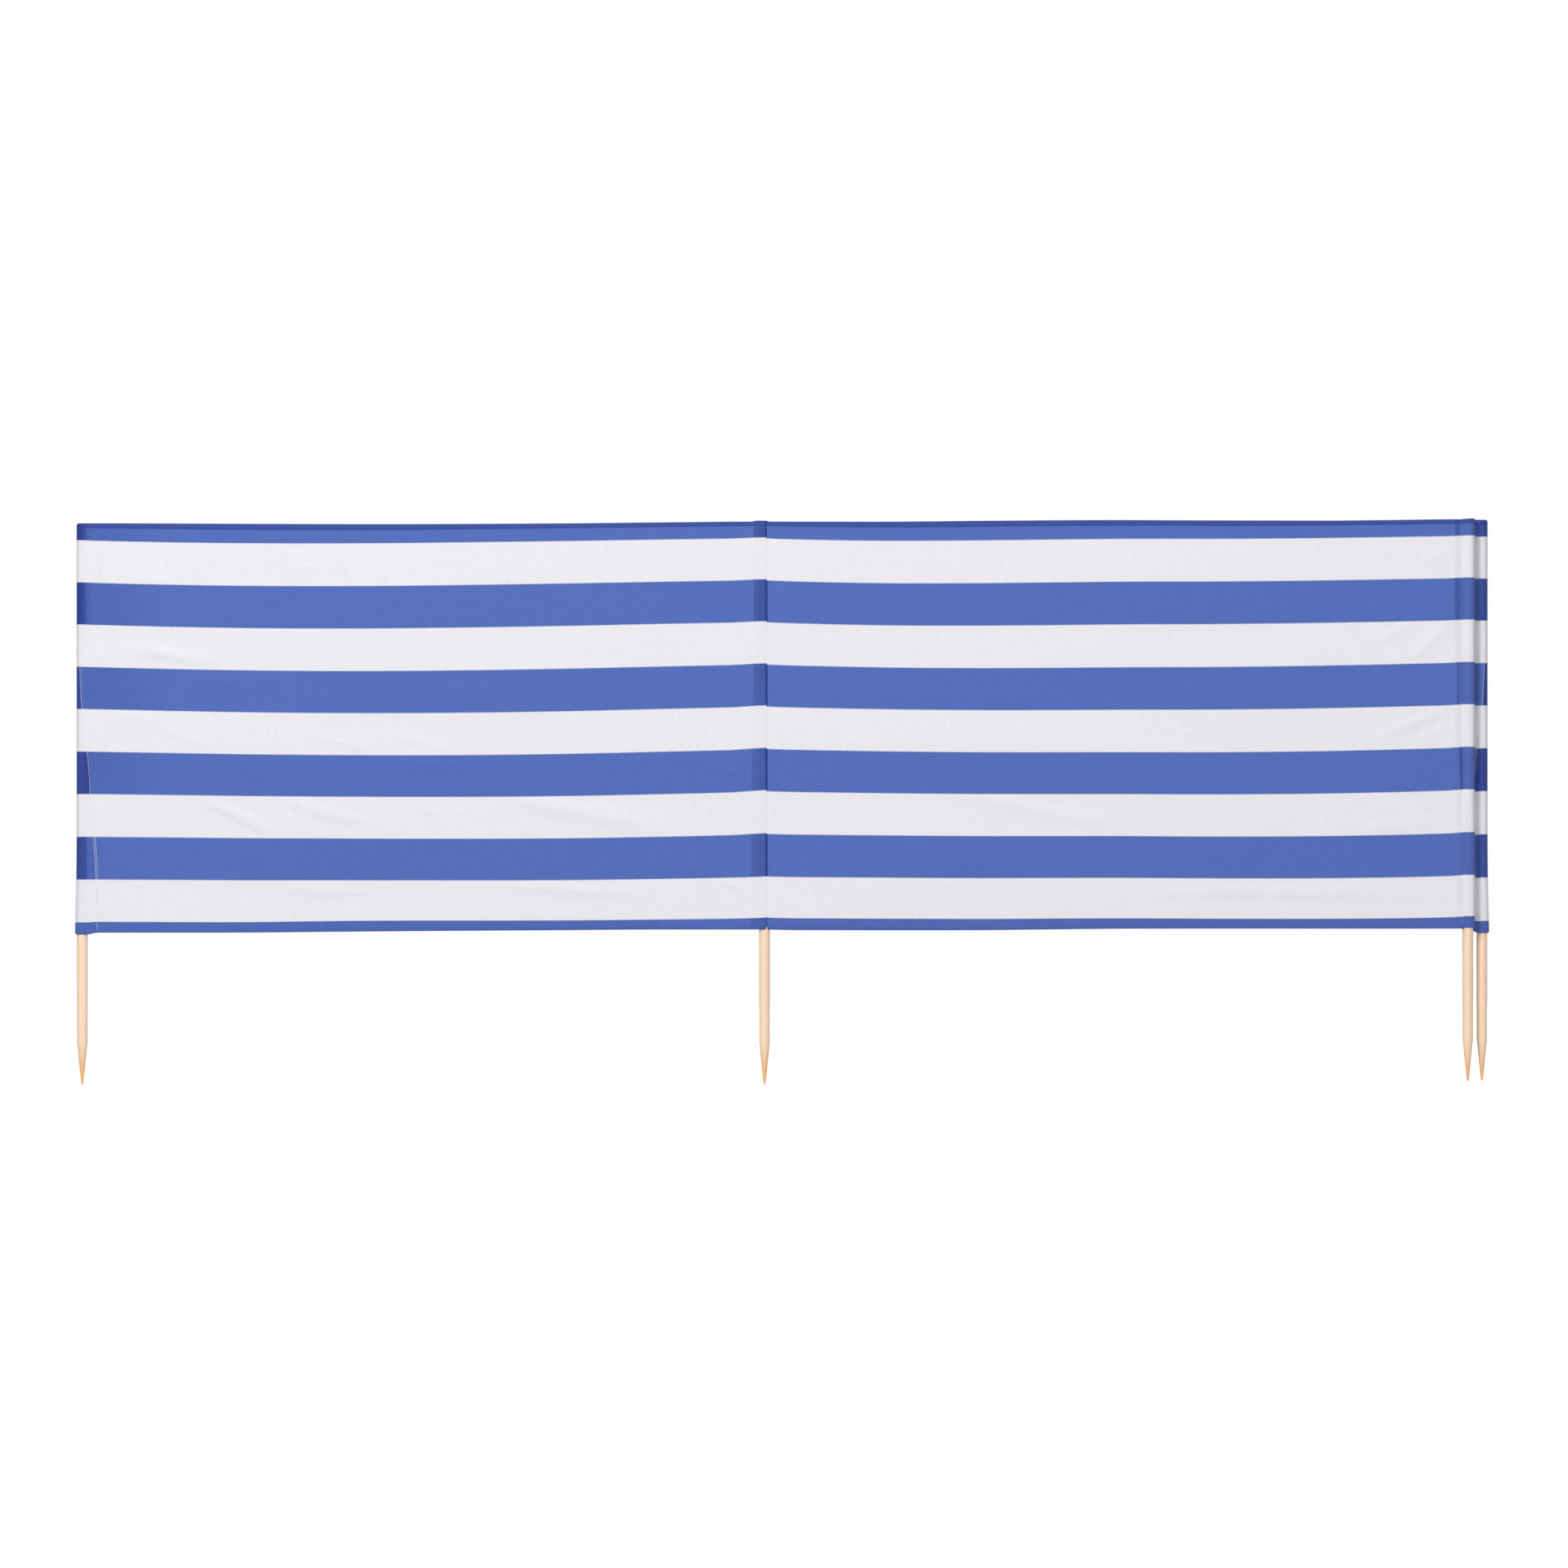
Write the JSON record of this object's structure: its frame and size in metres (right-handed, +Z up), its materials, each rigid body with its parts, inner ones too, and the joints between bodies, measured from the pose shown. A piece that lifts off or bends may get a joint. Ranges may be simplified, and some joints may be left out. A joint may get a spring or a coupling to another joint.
{
  "type": "beach windbreak",
  "caption": "Striped cloth windbreak in bays on pointed wooden poles, standing upright, with its last bay folded back behind the one before it.",
  "frame": {"origin": "centre of the blunt tip of the second pole from the left", "axes": "+X along the bays, to the viewer's right; +Y away from the viewer; +Z up, along the poles"},
  "size_m": [2.7606, 0.0536, 1.1053],
  "materials": {
    "pole_wood": "bare turned softwood",
    "striped_cloth": "woven cotton, blue and white stripes",
    "hem_cloth": "woven cotton, blue edge stripe turned over and stitched"
  },
  "bodies": {
    "bay_1": {"pole_1": "pole_wood", "pole_2": "pole_wood", "end_sleeve_1": "striped_cloth", "pocket_2": "striped_cloth", "bay_1_cloth": "striped_cloth", "top_hem_1": "hem_cloth", "bottom_hem_1": "hem_cloth"},
    "bay_2": {"pole_3": "pole_wood", "pocket_3": "striped_cloth", "bay_2_cloth": "striped_cloth", "top_hem_2": "hem_cloth", "bottom_hem_2": "hem_cloth"},
    "bay_3_inner": {"bay_3_inner_cloth": "striped_cloth", "top_hem_3_inner": "hem_cloth", "bottom_hem_3_inner": "hem_cloth"},
    "bay_3_outer": {"pole_4": "pole_wood", "end_sleeve_4": "striped_cloth", "bay_3_outer_cloth": "striped_cloth", "top_hem_3_outer": "hem_cloth", "bottom_hem_3_outer": "hem_cloth"}
  },
  "joints": [
    {"name": "bend_at_pole_2", "type": "hinge", "parent": "bay_1", "child": "bay_2", "pos_m": [0, 0, 0.7], "axis": [0, 0, 1], "range_deg": [0, 120]},
    {"name": "unfold_at_pole_3", "type": "hinge", "parent": "bay_2", "child": "bay_3_inner", "pos_m": [1.3775, 0, 0.7], "axis": [0, 0, -1], "range_deg": [0, 178]},
    {"name": "unfold_crease", "type": "hinge", "parent": "bay_3_inner", "child": "bay_3_outer", "pos_m": [0.7135, 0.0144, 0.7], "axis": [0, 0, 1], "range_deg": [0, 178]}
  ],
  "couplings": [
    {"joint": "unfold_crease", "follows": "unfold_at_pole_3", "ratio": 1}
  ]
}
